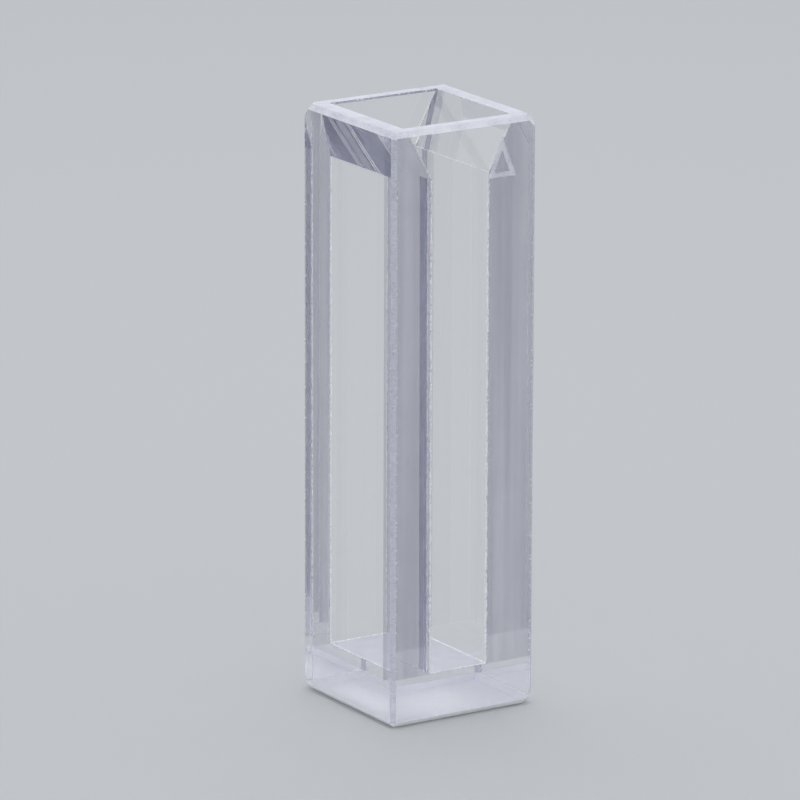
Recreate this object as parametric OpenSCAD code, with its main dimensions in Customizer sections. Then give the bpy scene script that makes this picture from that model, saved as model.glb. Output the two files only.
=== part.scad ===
// Spectrophotometer cuvette in fused quartz, open at the top, with a narrow chamber.
// Two polished windows sandwich two thick side blocks and a floor block. The five plates
// are fused face to face, and the outside is then ground at every edge and corner.
// X is the chamber's narrow width, Y is the light path, Z is up. The origin is at the
// centre of the underside, in millimetres.

/* [Outside] */
// Width of the cell across the side blocks
outer_w = 12.5; // [10:0.1:16]
// Depth of the cell along the light path
outer_d = 12.5; // [10:0.1:16]
// Height of the cell
height = 45; // [30:0.5:60]

/* [Plates] */
// Thickness of each polished window
window_t = 1.25; // [1:0.05:2]
// Thickness of the floor block under the chamber
floor_t = 3.5; // [1.5:0.1:6]
// Width of the chamber between the side blocks
chamber_w = 5; // [4.2:0.1:6.4]

/* [Filling mouth] */
// Width of the flat rim left on top of each side block
rim_w = 1.6; // [0.8:0.1:1.8]
// Height of the slope that leads from the rim down to the chamber wall
mouth_drop = 4; // [2:0.25:8]

/* [Ground edges] */
// Leg of the chamfer on the upright edges
upright_chamfer = 0.33; // [0.1:0.01:0.6]
// Leg of the chamfer round the top
top_chamfer = 0.38; // [0.1:0.01:0.6]
// Leg of the chamfer round the underside
foot_chamfer = 0.42; // [0.1:0.01:0.6]
// How far each ground corner reaches along the edges from the sharp corner
corner_reach = 1.15; // [1:0.05:1.8]
// The same for the corners at the front left and the rear right, which are ground less
light_reach = 0.75; // [0.7:0.05:1.8]

/* [Direction mark] */
// Width of the etched triangle
mark_w = 2.4; // [1.5:0.1:3]
// Height of the etched triangle
mark_h = 3; // [1.5:0.1:4]
// Width of the etched line
mark_line = 0.36; // [0.2:0.02:0.5]
// Depth of the etched line
mark_depth = 0.05; // [0.03:0.01:0.2]
// Distance from the top of the cell down to the triangle's tip
mark_from_top = 1.3; // [1:0.1:10]
// Distance from the right side of the cell to the triangle's centre line
mark_from_side = 3.1; // [2:0.1:6]

/* [Hidden] */

clear_quartz = [0.86, 0.89, 0.95, 0.45];
half_w = outer_w / 2;
half_d = outer_d / 2;
path_l = outer_d - 2 * window_t;
block_w = (outer_w - chamber_w) / 2;
right_angle = 90;
// Tilt of a plane that leans equally on three square faces
corner_tilt = atan(sqrt(2));
// Cutting and trimming tools run this far past what they cut
past = 5;

// A rectangle w by h standing on the X axis, its upper corners cut by top, its lower by foot
module chamfered_outline(w, h, top, foot) {
    polygon([
        [-w / 2 + foot, 0],
        [w / 2 - foot, 0],
        [w / 2, foot],
        [w / 2, h - top],
        [w / 2 - top, h],
        [-w / 2 + top, h],
        [-w / 2, h - top],
        [-w / 2, foot]
    ]);
}

// The outline of a side view, given the width that the view shows, drawn out to a solid
module side_view(w, length) {
    rotate([right_angle, 0, 0])
        linear_extrude(length, center = true)
            chamfered_outline(w, height, top_chamfer, foot_chamfer);
}

// Outline of the cell seen from above
module plan_view() {
    translate([0, -half_d])
        chamfered_outline(outer_w, outer_d, upright_chamfer, upright_chamfer);
}

// Takes the tip off the corner on the sides sx, sy and sz of the cell
module corner_tool(sx, sy, sz) {
    corner_z = sz > 0 ? height : 0;
    turn = atan2(sy, sx);
    tilt = sz > 0 ? corner_tilt : 2 * right_angle - corner_tilt;
    reach = sx == sy ? light_reach : corner_reach;
    // Distance of the cut from the sharp corner
    corner_depth = reach / sqrt(3);
    translate([sx * half_w, sy * half_d, corner_z])
        rotate([0, tilt, turn])
            translate([-past, -past, -corner_depth])
                cube([2 * past, 2 * past, 2 * past]);
}

// The outside of the finished cell: every edge chamfered and every corner ground off
module ground_outside() {
    difference() {
        intersection() {
            linear_extrude(height) plan_view();
            side_view(outer_w, outer_d + 2 * past);
            rotate([0, 0, right_angle]) side_view(outer_d, outer_w + 2 * past);
        }
        for (sx = [-1, 1], sy = [-1, 1], sz = [-1, 1]) {
            corner_tool(sx, sy, sz);
        }
    }
}

// Outline of the etched triangle, tip up, centred on the Y axis
module mark_outline(inset) {
    half_angle = atan2(mark_w / 2, mark_h);
    tip_drop = inset / sin(half_angle);
    base_half = (mark_h - inset - tip_drop) * tan(half_angle);
    polygon([
        [-base_half, inset],
        [base_half, inset],
        [0, mark_h - tip_drop]
    ]);
}

// The etched line of the mark, as a solid that cuts into the front window
module mark_tool() {
    translate([half_w - mark_from_side, -half_d + mark_depth, height - mark_from_top - mark_h])
        rotate([right_angle, 0, 0])
            linear_extrude(mark_depth + past)
                difference() {
                    mark_outline(0);
                    mark_outline(mark_line);
                }
}

// One full-size window plate, on the side sy of the cell
module window_plate(sy) {
    intersection() {
        ground_outside();
        translate([-half_w, sy > 0 ? half_d - window_t : -half_d, 0])
            cube([outer_w, window_t, height]);
    }
}

module front_window() {
    color(clear_quartz)
        difference() {
            window_plate(-1);
            mark_tool();
        }
}

module rear_window() {
    color(clear_quartz) window_plate(1);
}

// A side block seen from the front, its outer side on x = 0 and its chamber wall at block_w
module block_outline() {
    polygon([
        [0, 0],
        [block_w, 0],
        [block_w, height - mouth_drop],
        [rim_w, height],
        [0, height]
    ]);
}

// One side block between the windows, on the side sx of the cell
module side_block(sx) {
    intersection() {
        ground_outside();
        translate([sx * half_w, 0, 0])
            mirror([sx > 0 ? 1 : 0, 0, 0])
                rotate([right_angle, 0, 0])
                    linear_extrude(path_l, center = true) block_outline();
    }
}

module left_block() {
    color(clear_quartz) side_block(-1);
}

module right_block() {
    color(clear_quartz) side_block(1);
}

// The block that closes the bottom of the chamber, flush with the underside
module floor_block() {
    color(clear_quartz)
        translate([-chamber_w / 2, -path_l / 2, 0])
            cube([chamber_w, path_l, floor_t]);
}

front_window();
rear_window();
left_block();
right_block();
floor_block();
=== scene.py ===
import math
import random

import bmesh
import bpy
from mathutils import Matrix, Vector


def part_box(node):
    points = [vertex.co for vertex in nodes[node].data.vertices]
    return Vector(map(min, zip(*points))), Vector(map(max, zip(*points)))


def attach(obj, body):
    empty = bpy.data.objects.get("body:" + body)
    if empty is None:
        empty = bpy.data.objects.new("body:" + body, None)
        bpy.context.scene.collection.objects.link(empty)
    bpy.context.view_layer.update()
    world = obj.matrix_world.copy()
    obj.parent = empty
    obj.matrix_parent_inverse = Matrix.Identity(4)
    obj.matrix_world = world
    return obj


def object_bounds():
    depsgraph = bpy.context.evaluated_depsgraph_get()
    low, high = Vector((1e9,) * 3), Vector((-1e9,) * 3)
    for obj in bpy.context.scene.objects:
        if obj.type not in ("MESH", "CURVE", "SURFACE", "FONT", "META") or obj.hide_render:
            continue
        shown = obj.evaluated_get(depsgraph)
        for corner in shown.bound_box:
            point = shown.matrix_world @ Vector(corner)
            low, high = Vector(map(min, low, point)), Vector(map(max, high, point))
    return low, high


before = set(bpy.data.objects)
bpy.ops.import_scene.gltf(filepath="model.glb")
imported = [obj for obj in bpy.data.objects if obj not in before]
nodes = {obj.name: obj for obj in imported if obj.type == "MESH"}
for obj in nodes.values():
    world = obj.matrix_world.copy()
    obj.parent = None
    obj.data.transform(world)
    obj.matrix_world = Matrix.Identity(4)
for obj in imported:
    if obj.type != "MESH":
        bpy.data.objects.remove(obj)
cad_low, cad_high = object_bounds()
MM = 0.001

# ---------------------------------------------------------------- camera
cam_data = bpy.data.cameras.new("camera")
camera = bpy.data.objects.new("camera", cam_data)
bpy.context.scene.collection.objects.link(camera)
bpy.context.scene.camera = camera


def aim_camera(azimuth, elevation, roll, distance, lens, slide_right, slide_up):
    """Looks at the object's middle from azimuth and elevation, in degrees, then slides, in mm."""
    a, e, r = math.radians(azimuth), math.radians(elevation), math.radians(roll)
    back = Vector((math.sin(a) * math.cos(e), -math.cos(a) * math.cos(e), math.sin(e)))
    level = Vector((math.cos(a), math.sin(a), 0))
    upright = back.cross(level)
    right = math.cos(r) * level + math.sin(r) * upright
    up = -math.sin(r) * level + math.cos(r) * upright
    middle = (cad_low + cad_high) / 2
    spot = middle + (back * distance + right * slide_right + up * slide_up) * MM
    turn = Matrix((right, up, back)).transposed().to_4x4()
    camera.matrix_world = Matrix.Translation(spot) @ turn
    cam_data.lens = lens
    cam_data.sensor_width = 36
    cam_data.clip_start = 0.01
    cam_data.clip_end = 20


aim_camera(azimuth=-32.546, elevation=15.063, roll=0.161, distance=529.825, lens=321.77,
           slide_right=-1.386, slide_up=0.351)

# ---------------------------------------------------------------- sizes read from the frame
half_w, half_d, top = cad_high
half_chamber, half_path, chamber_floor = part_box("floor_block")[1]
# A face is square to an axis when its normal has more than this along it
SQUARE_ON = 0.99
# A face is level or upright when its normal has less than this along the other way
HARDLY = 0.1
# The mouth slopes lean by more than this in height, and more across than a chamfer's 0.71
SLOPE_UP = 0.2
SLOPE_ACROSS = 0.8
# How near a plane counts as on it, and how far a bead's line lies inside a wall
NEAR = 0.02 * MM


def corners(name, wanted):
    """The corners of a node's faces whose normal is wanted."""
    mesh = nodes[name].data
    return [mesh.vertices[i].co for p in mesh.polygons if wanted(p.normal) for i in p.vertices]


slope = corners("right_block", lambda n: n.x < -SLOPE_UP and n.z > SLOPE_UP)
slope_foot_z = min(c.z for c in slope)
slope_top_x = max(c.x for c in slope)
slope_gain = (slope_top_x - half_chamber) / (top - slope_foot_z)
upright_leg = half_w - max(c.x for c in corners("front_window", lambda n: n.y < -SQUARE_ON))

# ---------------------------------------------------------------- shader helpers
QUARTZ_IOR = 1.458
# Painted shade on the seams: what a seam leaves of the light that crosses it, at its darkest and
# palest above the chamber floor, and everywhere under it. Real seams are clear. The painted shade
# keeps the photo's dusky columns.
SEAM_PAINTED_SHADE_DARK = (0.71, 0.715, 0.76)
SEAM_PAINTED_SHADE_PALE = (0.84, 0.845, 0.88)
SEAM_CLEAR = (0.99, 0.99, 1.0)
# How high the seam's painted shade takes to come in at the chamber floor
SEAM_PAINTED_SHADE_FADE = 0.1 * MM
# The fused face's open part reaches this far past the chamber's own wall
OPEN_MARGIN = 0.005 * MM
# Sizes of the patterns in each finish
SLEEK_SIZE = 0.25 * MM
RIPPLE_SIZE = 5 * MM
SEAM_SHADE_STREAK_SIZE = 0.9 * MM
SEAM_SHADE_CLOUD_SIZE = 3 * MM
GRAIN_SIZE = 0.1 * MM
MARK_SIZE = 0.045 * MM
MOTTLE_SIZE = 1.1 * MM
SATIN_CLOUD_SIZE = 1.6 * MM
SATIN_GRAIN_SIZE = 0.08 * MM
FROST_SIZE = 0.12 * MM
# Depths of the relief in each finish
RIPPLE_DEPTH = 0.004 * MM
GROUND_DEPTH = 0.06 * MM
SATIN_DEPTH = 0.01 * MM
FROST_DEPTH = 0.02 * MM


def new_material(name):
    mat = bpy.data.materials.new(name)
    mat.use_nodes = True
    return mat, mat.node_tree, mat.node_tree.nodes["Principled BSDF"]


def set_inputs(node, **values):
    """Sets a node's sockets, each named with _ in place of its spaces."""
    for key, value in values.items():
        node.inputs[key.replace("_", " ")].default_value = value


def math_node(tree, operation, a, b=None):
    n = tree.nodes.new("ShaderNodeMath")
    n.operation = operation
    for socket, value in zip(n.inputs, (a, b)):
        if isinstance(value, (int, float)):
            socket.default_value = value
        elif value is not None:
            tree.links.new(value, socket)
    return n.outputs[0]


def blend(tree, *shares):
    """The sum of values, each given with the share that it has."""
    parts = [math_node(tree, "MULTIPLY", value, share) for share, value in shares]
    total = parts[0]
    for part in parts[1:]:
        total = math_node(tree, "ADD", total, part)
    return total


def object_place(tree):
    return tree.nodes.new("ShaderNodeTexCoord").outputs["Object"]


def axes(tree, place):
    n = tree.nodes.new("ShaderNodeSeparateXYZ")
    tree.links.new(place, n.inputs[0])
    return n.outputs


def stretched(tree, place, scale):
    """The place with each axis scaled by its own amount, for streaks."""
    n = tree.nodes.new("ShaderNodeMapping")
    n.inputs["Scale"].default_value = scale
    tree.links.new(place, n.inputs["Vector"])
    return n.outputs["Vector"]


def noise(tree, place, size, detail=2.0):
    """Noise whose patches are about size metres across."""
    n = tree.nodes.new("ShaderNodeTexNoise")
    set_inputs(n, Scale=1 / size, Detail=detail)
    tree.links.new(place, n.inputs["Vector"])
    return n.outputs["Fac"]


def ramp(tree, value, stops):
    """A colour ramp. Each stop is a position and a colour."""
    n = tree.nodes.new("ShaderNodeValToRGB")
    marks = n.color_ramp.elements
    while len(marks) < len(stops):
        marks.new(0.5)
    for mark, (position, colour) in zip(marks, stops):
        mark.position = position
        mark.color = (*colour, 1)
    tree.links.new(value, n.inputs["Fac"])
    return n.outputs["Color"]


def remap(tree, value, low, high, new_low=0.0, new_high=1.0):
    """Takes low to new_low and high to new_high, and goes no further at either end."""
    n = tree.nodes.new("ShaderNodeMapRange")
    set_inputs(n, From_Min=low, From_Max=high, To_Min=new_low, To_Max=new_high)
    tree.links.new(value, n.inputs["Value"])
    return n.outputs["Result"]


def bump(tree, height, distance):
    n = tree.nodes.new("ShaderNodeBump")
    set_inputs(n, Distance=distance)
    tree.links.new(height, n.inputs["Height"])
    return n.outputs["Normal"]


# ---------------------------------------------------------------- materials
def polished_quartz(name):
    """Polished fused quartz, with the faint ripple and sleek marks that polishing leaves."""
    mat, tree, shader = new_material(name)
    set_inputs(shader, Base_Color=(1, 1, 1, 1), IOR=QUARTZ_IOR, Transmission_Weight=1.0)
    place = object_place(tree)
    sleek = noise(tree, stretched(tree, place, (1, 1, 0.1)), SLEEK_SIZE, 3.0)
    tree.links.new(remap(tree, sleek, 0.62, 0.8, 0.0, 0.01), shader.inputs["Roughness"])
    ripple = noise(tree, place, RIPPLE_SIZE, 1.0)
    tree.links.new(bump(tree, ripple, RIPPLE_DEPTH), shader.inputs["Normal"])
    return mat, tree, shader


def fused_quartz():
    """Where plates are fused, light goes straight through. What stays open is polished quartz."""
    mat, tree, shader = polished_quartz("fused_quartz")
    x, _, z = axes(tree, object_place(tree))
    rise = math_node(tree, "SUBTRACT", z, slope_foot_z)
    widen = math_node(tree, "MAXIMUM", math_node(tree, "MULTIPLY", rise, slope_gain), 0.0)
    open_half = math_node(tree, "ADD", widen, half_chamber + OPEN_MARGIN)
    inside = math_node(tree, "LESS_THAN", math_node(tree, "ABSOLUTE", x), open_half)
    above = math_node(tree, "GREATER_THAN", z, chamber_floor)
    tree.links.new(math_node(tree, "MULTIPLY", inside, above), shader.inputs["Alpha"])
    return mat


def bond():
    """The other side of a fused face: light goes straight on, through a dusky painted shade on the
    seam.

    Under the chamber floor the seams are clear, so that the base stays bright."""
    mat, tree, shader = new_material("fused_face_painted_shade")
    tree.nodes.remove(shader)
    straight = tree.nodes.new("ShaderNodeBsdfTransparent")
    place = object_place(tree)
    streak = noise(tree, stretched(tree, place, (1, 1, 0.02)), SEAM_SHADE_STREAK_SIZE)
    cloud = noise(tree, place, SEAM_SHADE_CLOUD_SIZE, 3.0)
    # Painted shade: a streaked grey that darkens what is seen through the seam above the chamber
    # floor
    painted_shade = ramp(tree, blend(tree, (0.85, streak), (0.15, cloud)),
                ((0.35, SEAM_PAINTED_SHADE_DARK), (0.65, SEAM_PAINTED_SHADE_PALE)))
    height = axes(tree, place)[2]
    above = remap(tree, height, chamber_floor - SEAM_PAINTED_SHADE_FADE, chamber_floor)
    mix = tree.nodes.new("ShaderNodeMix")
    mix.data_type = "RGBA"
    tree.links.new(above, mix.inputs["Factor"])
    mix.inputs["A"].default_value = (*SEAM_CLEAR, 1)
    tree.links.new(painted_shade, mix.inputs["B"])
    tree.links.new(mix.outputs["Result"], straight.inputs["Color"])
    tree.links.new(straight.outputs[0], tree.nodes["Material Output"].inputs["Surface"])
    return mat


def ground_quartz(name, dark, pale, through, marked=0.0):
    """Ground quartz: a fine grain, and a slow mottle where the wheel bit deeper.

    Through is the share of light that goes through it, and marked the share of level grinding
    marks in its pattern."""
    mat, tree, shader = new_material(name)
    set_inputs(shader, IOR=QUARTZ_IOR, Transmission_Weight=through, Specular_IOR_Level=0.0)
    place = object_place(tree)
    grain = noise(tree, place, GRAIN_SIZE)
    marks = noise(tree, stretched(tree, place, (0.1, 0.1, 1)), MARK_SIZE, 3.0)
    mottle = noise(tree, place, MOTTLE_SIZE, 3.0)
    plain = 1 - marked
    pattern = blend(tree, (0.6 * plain, grain), (marked, marks), (0.4 * plain, mottle))
    middle = tuple(0.4 * a + 0.6 * b for a, b in zip(dark, pale))
    colour = ramp(tree, pattern, ((0.38, dark), (0.48, middle), (0.6, pale)))
    tree.links.new(colour, shader.inputs["Base Color"])
    tree.links.new(remap(tree, mottle, 0.3, 0.7, 0.45, 0.75), shader.inputs["Roughness"])
    relief = blend(tree, (plain, grain), (marked, marks))
    tree.links.new(bump(tree, relief, GROUND_DEPTH), shader.inputs["Normal"])
    return mat


def satin_quartz_with_painted_shade():
    """The chamber floor, left with a fine satin face that clouds what lies under it. Its grey tint
    is partly the satin's haze and partly painted shade.
    """
    mat, tree, shader = new_material("satin_quartz_with_painted_shade")
    set_inputs(shader, IOR=QUARTZ_IOR, Transmission_Weight=0.7)
    place = object_place(tree)
    cloud = noise(tree, place, SATIN_CLOUD_SIZE, 3.0)
    # Partly painted shade: this grey is darker than the satin's own haze, to keep the chamber floor
    # dusky under pale light
    colour = ramp(tree, cloud, ((0.3, (0.50, 0.50, 0.56)), (0.7, (0.66, 0.65, 0.73))))
    tree.links.new(colour, shader.inputs["Base Color"])
    tree.links.new(remap(tree, cloud, 0.3, 0.7, 0.28, 0.42), shader.inputs["Roughness"])
    satin = noise(tree, place, SATIN_GRAIN_SIZE)
    tree.links.new(bump(tree, satin, SATIN_DEPTH), shader.inputs["Normal"])
    return mat


def seam_quartz():
    """The white, half-melted quartz of a bead or a nick."""
    mat, tree, shader = new_material("seam_bead")
    set_inputs(shader, IOR=QUARTZ_IOR, Specular_IOR_Level=0.3)
    place = object_place(tree)
    frost = noise(tree, place, FROST_SIZE)
    colour = ramp(tree, frost, ((0.36, (0.60, 0.60, 0.69)), (0.46, (1.0, 1.0, 1.0))))
    tree.links.new(colour, shader.inputs["Base Color"])
    tree.links.new(remap(tree, frost, 0.3, 0.7, 0.25, 0.55), shader.inputs["Roughness"])
    tree.links.new(bump(tree, frost, FROST_DEPTH), shader.inputs["Normal"])
    return mat


# ---------------------------------------------------------------- finishes of the CAD faces
POLISHED, RIM, BOND, FUSED, UNDERSIDE, EDGE, SATIN = range(7)
finishes = [
    polished_quartz("polished_quartz")[0],
    ground_quartz("ground_rim", (0.66, 0.66, 0.74), (0.90, 0.90, 0.96), 0.4),
    bond(),
    fused_quartz(),
    ground_quartz("ground_underside", (0.94, 0.94, 0.97), (1.0, 1.0, 1.0), 0.0),
    ground_quartz("ground_edge", (0.46, 0.46, 0.55), (0.74, 0.74, 0.82), 0.3, 0.5),
    satin_quartz_with_painted_shade(),
]


def finish_of(node, n, c):
    """Which finish a CAD face has, from its normal n and its middle c."""
    block = node.endswith("block")
    if n.z < -HARDLY:
        return UNDERSIDE
    if n.z > SQUARE_ON:
        return SATIN if node == "floor_block" else RIM
    if abs(n.y) > SQUARE_ON:
        if abs(c.y) > half_d - NEAR:
            return POLISHED
        if block:
            return BOND
        return FUSED if abs(c.y) < half_path + NEAR else RIM
    if abs(n.x) > SQUARE_ON:
        if abs(c.x) > half_w - NEAR:
            return POLISHED
        return BOND if node == "floor_block" else FUSED
    if block and abs(n.x) > SLOPE_ACROSS and n.z > SLOPE_UP:
        return POLISHED
    return EDGE if abs(n.z) < HARDLY else RIM


for name, obj in nodes.items():
    mesh = obj.data
    mesh.materials.clear()
    for mat in finishes:
        mesh.materials.append(mat)
    for p in mesh.polygons:
        p.material_index = finish_of(name, p.normal, p.center)

# ---------------------------------------------------------------- beads and nicks
BEAD_SIDES = 7
BEAD_STEP = 0.13 * MM
# A bead's width wanders between these shares of its thickness, and follows them this closely
SWELL_RANGE = (0.45, 1.55)
SWELL_FOLLOW = 0.6
# What is left of the width in a gap or at an end, and how far the bead sways off its line
GAP_WIDTH = 0.25
BEAD_SWAY = 0.15
# A nick's size and length, how rough it is, how deep it lies and how flat it is, all as shares
NICK_RANGE = (0.35, 1.0)
NICK_LENGTH = (1.0, 2.2)
NICK_ROUGH = (0.6, 1.1)
NICK_DEPTH = 1.3
NICK_FLAT = 0.7
seam_finish = seam_quartz()


def add_piece(name, points, faces):
    """A new piece of the seam finish, which moves with the object."""
    mesh = bpy.data.meshes.new(name)
    mesh.from_pydata(points, [], faces)
    mesh.materials.append(seam_finish)
    mesh.shade_smooth()
    piece = bpy.data.objects.new(name, mesh)
    bpy.context.scene.collection.objects.link(piece)
    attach(piece, "root")


def bead_rings(start, end, thickness, gaps, draw):
    """Rings of points along an uneven bead, which nearly stops over a share of gaps."""
    along = end - start
    count = max(4, round(along.length / BEAD_STEP))
    side = along.orthogonal().normalized()
    other = along.normalized().cross(side)
    turns = [2 * math.pi * k / BEAD_SIDES for k in range(BEAD_SIDES)]
    rings = []
    swell = 1.0
    for i in range(count + 1):
        swell += (draw.uniform(*SWELL_RANGE) - swell) * SWELL_FOLLOW
        width = thickness * swell
        if draw.random() < gaps or i in (0, count):
            width *= GAP_WIDTH
        sway = side * draw.uniform(-1, 1) + other * draw.uniform(-1, 1)
        sway = sway * thickness * BEAD_SWAY
        middle = start + along * (i / count) + sway
        rings.append([middle + (side * math.cos(t) + other * math.sin(t)) * width for t in turns])
    return rings


def beads(name, lines, thickness, gaps=0.0, *, seed):
    """One piece that holds a bead along each line, a pair of ends."""
    draw = random.Random(seed)
    points, faces = [], []
    for start, end in lines:
        rings = bead_rings(Vector(start), Vector(end), thickness, gaps, draw)
        base = len(points)
        last = base + (len(rings) - 1) * BEAD_SIDES
        for ring in rings:
            points.extend(ring)
        for first in range(base, last, BEAD_SIDES):
            for k in range(BEAD_SIDES):
                here, beside = first + k, first + (k + 1) % BEAD_SIDES
                faces.append((here, beside, beside + BEAD_SIDES, here + BEAD_SIDES))
        faces.append(tuple(base + k for k in reversed(range(BEAD_SIDES))))
        faces.append(tuple(last + k for k in range(BEAD_SIDES)))
    add_piece(name, points, faces)


def nicks(name, lines, size, per_mm, *, seed):
    """One piece that holds the small bright nicks along ground edges, just under the surface.

    Each line is a pair of ends and the direction that leads into the quartz."""
    draw = random.Random(seed)
    form = bmesh.new()
    bmesh.ops.create_icosphere(form, subdivisions=1, radius=1.0)
    shape = [v.co.copy() for v in form.verts]
    facets = [tuple(v.index for v in f.verts) for f in form.faces]
    form.free()
    points, faces = [], []
    for start, end, inward in lines:
        start, end, inward = Vector(start), Vector(end), Vector(inward).normalized()
        along = end - start
        run = along.normalized()
        across = run.cross(inward)
        for _ in range(round(along.length / MM * per_mm)):
            big = size * draw.uniform(*NICK_RANGE)
            spot = start + along * draw.random() + inward * big * NICK_DEPTH
            long = draw.uniform(*NICK_LENGTH)
            base = len(points)
            for co in shape:
                r = big * draw.uniform(*NICK_ROUGH)
                bulge = run * co.z * long + inward * co.x + across * co.y * NICK_FLAT
                points.append(spot + bulge * r)
            faces.extend(tuple(base + k for k in facet) for facet in facets)
    add_piece(name, points, faces)


# The rear right corner comes last, because it is fused most cleanly
signs = [(-1, -1), (-1, 1), (1, -1), (1, 1)]
in_x, in_y = half_chamber - NEAR, half_path - NEAR
wall_lines = [((sx * in_x, sy * in_y, chamber_floor), (sx * in_x, sy * in_y, slope_foot_z))
              for sx, sy in signs]
beads("chamber_corner_beads", wall_lines[:3], 0.07 * MM, 0.03, seed=3)
beads("rear_right_corner_bead", wall_lines[3:], 0.03 * MM, 0.1, seed=4)
beads("mouth_corner_beads", [((sx * in_x, sy * in_y, slope_foot_z),
                              (sx * (slope_top_x - NEAR), sy * in_y, top - 0.1 * MM))
                             for sx, sy in signs], 0.045 * MM, seed=5)
sides = [((sx * in_x, -in_y), (sx * in_x, in_y)) for sx in (-1, 1)]
ends = [((-in_x, sy * in_y), (in_x, sy * in_y)) for sy in (-1, 1)]
beads("chamber_floor_bead", [((*a, chamber_floor), (*b, chamber_floor)) for a, b in sides + ends],
      0.042 * MM, 0.25, seed=7)
beads("slope_foot_beads", [((*a, slope_foot_z), (*b, slope_foot_z)) for a, b in sides],
      0.018 * MM, seed=9)
# How far the outer seam's bead lies inside the side, and how far it stays from both ends
OUTER_SEAM_INSET = 0.11 * MM
OUTER_SEAM_END = 0.6 * MM
seam_x = half_w - OUTER_SEAM_INSET
beads("outer_seam_bead", [((-seam_x, half_path, OUTER_SEAM_END),
                           (-seam_x, half_path, top - OUTER_SEAM_END))],
      0.055 * MM, 0.1, seed=11)

# How far the nicks on the upright edges stay from both ends
NICK_END = 1.2 * MM
edge_lines = []
for sx, sy in signs[:3]:
    for x, y in ((half_w, half_d - upright_leg), (half_w - upright_leg, half_d)):
        edge_lines.append(((sx * x, sy * y, NICK_END), (sx * x, sy * y, top - NICK_END),
                           (-sx, -sy, 0)))
nicks("upright_edge_nicks", edge_lines, 0.05 * MM, 1.6, seed=13)
rim_lines = [((-slope_top_x, sy * half_path, top), (slope_top_x, sy * half_path, top), (0, sy, -1))
             for sy in (-1, 1)]
rim_lines += [((sx * slope_top_x, -half_path, top), (sx * slope_top_x, half_path, top), (sx, 0, -1))
              for sx in (-1, 1)]
nicks("rim_nicks", rim_lines, 0.09 * MM, 2.6, seed=17)

# ---------------------------------------------------------------- stage
WORLD_LEVEL = 1.02
WORLD_COLOUR = (0.95, 0.975, 1.0, 1)
KEY_LEVEL = 0.22
KEY_X, KEY_Y, KEY_HEIGHT = 0.043, 0.067, 0.35
KEY_SIZE = 0.25
FLOOR_COLOUR = (0.44, 0.445, 0.46, 1)
FLOOR_REACH = 3.0
FLOOR_DROP = 0.02 * MM
world = bpy.data.worlds.new("world")
bpy.context.scene.world = world
world.use_nodes = True
set_inputs(world.node_tree.nodes["Background"], Color=WORLD_COLOUR, Strength=WORLD_LEVEL)


def soft_box(name, spot, aim, size, level):
    """A square lamp. It lights a white surface that faces it at aim to level, where 1 is white."""
    spot, aim = Vector(spot), Vector(aim)
    data = bpy.data.lights.new(name, "AREA")
    data.size = size
    data.energy = level * (math.pi * (aim - spot).length) ** 2
    lamp = bpy.data.objects.new(name, data)
    bpy.context.scene.collection.objects.link(lamp)
    lamp.location = spot
    lamp.rotation_euler = (aim - spot).to_track_quat("-Z", "Y").to_euler()


soft_box("key", (KEY_X, KEY_Y, KEY_HEIGHT), (KEY_X, KEY_Y, 0), KEY_SIZE, KEY_LEVEL)


def floor_finish():
    """A plain pale floor."""
    mat, _, shader = new_material("floor")
    set_inputs(shader, Base_Color=FLOOR_COLOUR, Roughness=0.7)
    return mat


mesh = bpy.data.meshes.new("floor")
mesh.from_pydata([(sx * FLOOR_REACH, sy * FLOOR_REACH, -FLOOR_DROP)
                  for sx, sy in ((-1, -1), (1, -1), (1, 1), (-1, 1))], [], [(0, 1, 2, 3)])
mesh.materials.append(floor_finish())
floor = bpy.data.objects.new("floor", mesh)
bpy.context.scene.collection.objects.link(floor)

# ---------------------------------------------------------------- render settings that glass needs
scene = bpy.context.scene
scene.view_settings.view_transform = "Standard"
scene.cycles.blur_glossy = 0.0
scene.cycles.max_bounces = 48
scene.cycles.diffuse_bounces = 12
scene.cycles.transmission_bounces = 48
scene.cycles.glossy_bounces = 32
scene.cycles.transparent_max_bounces = 64
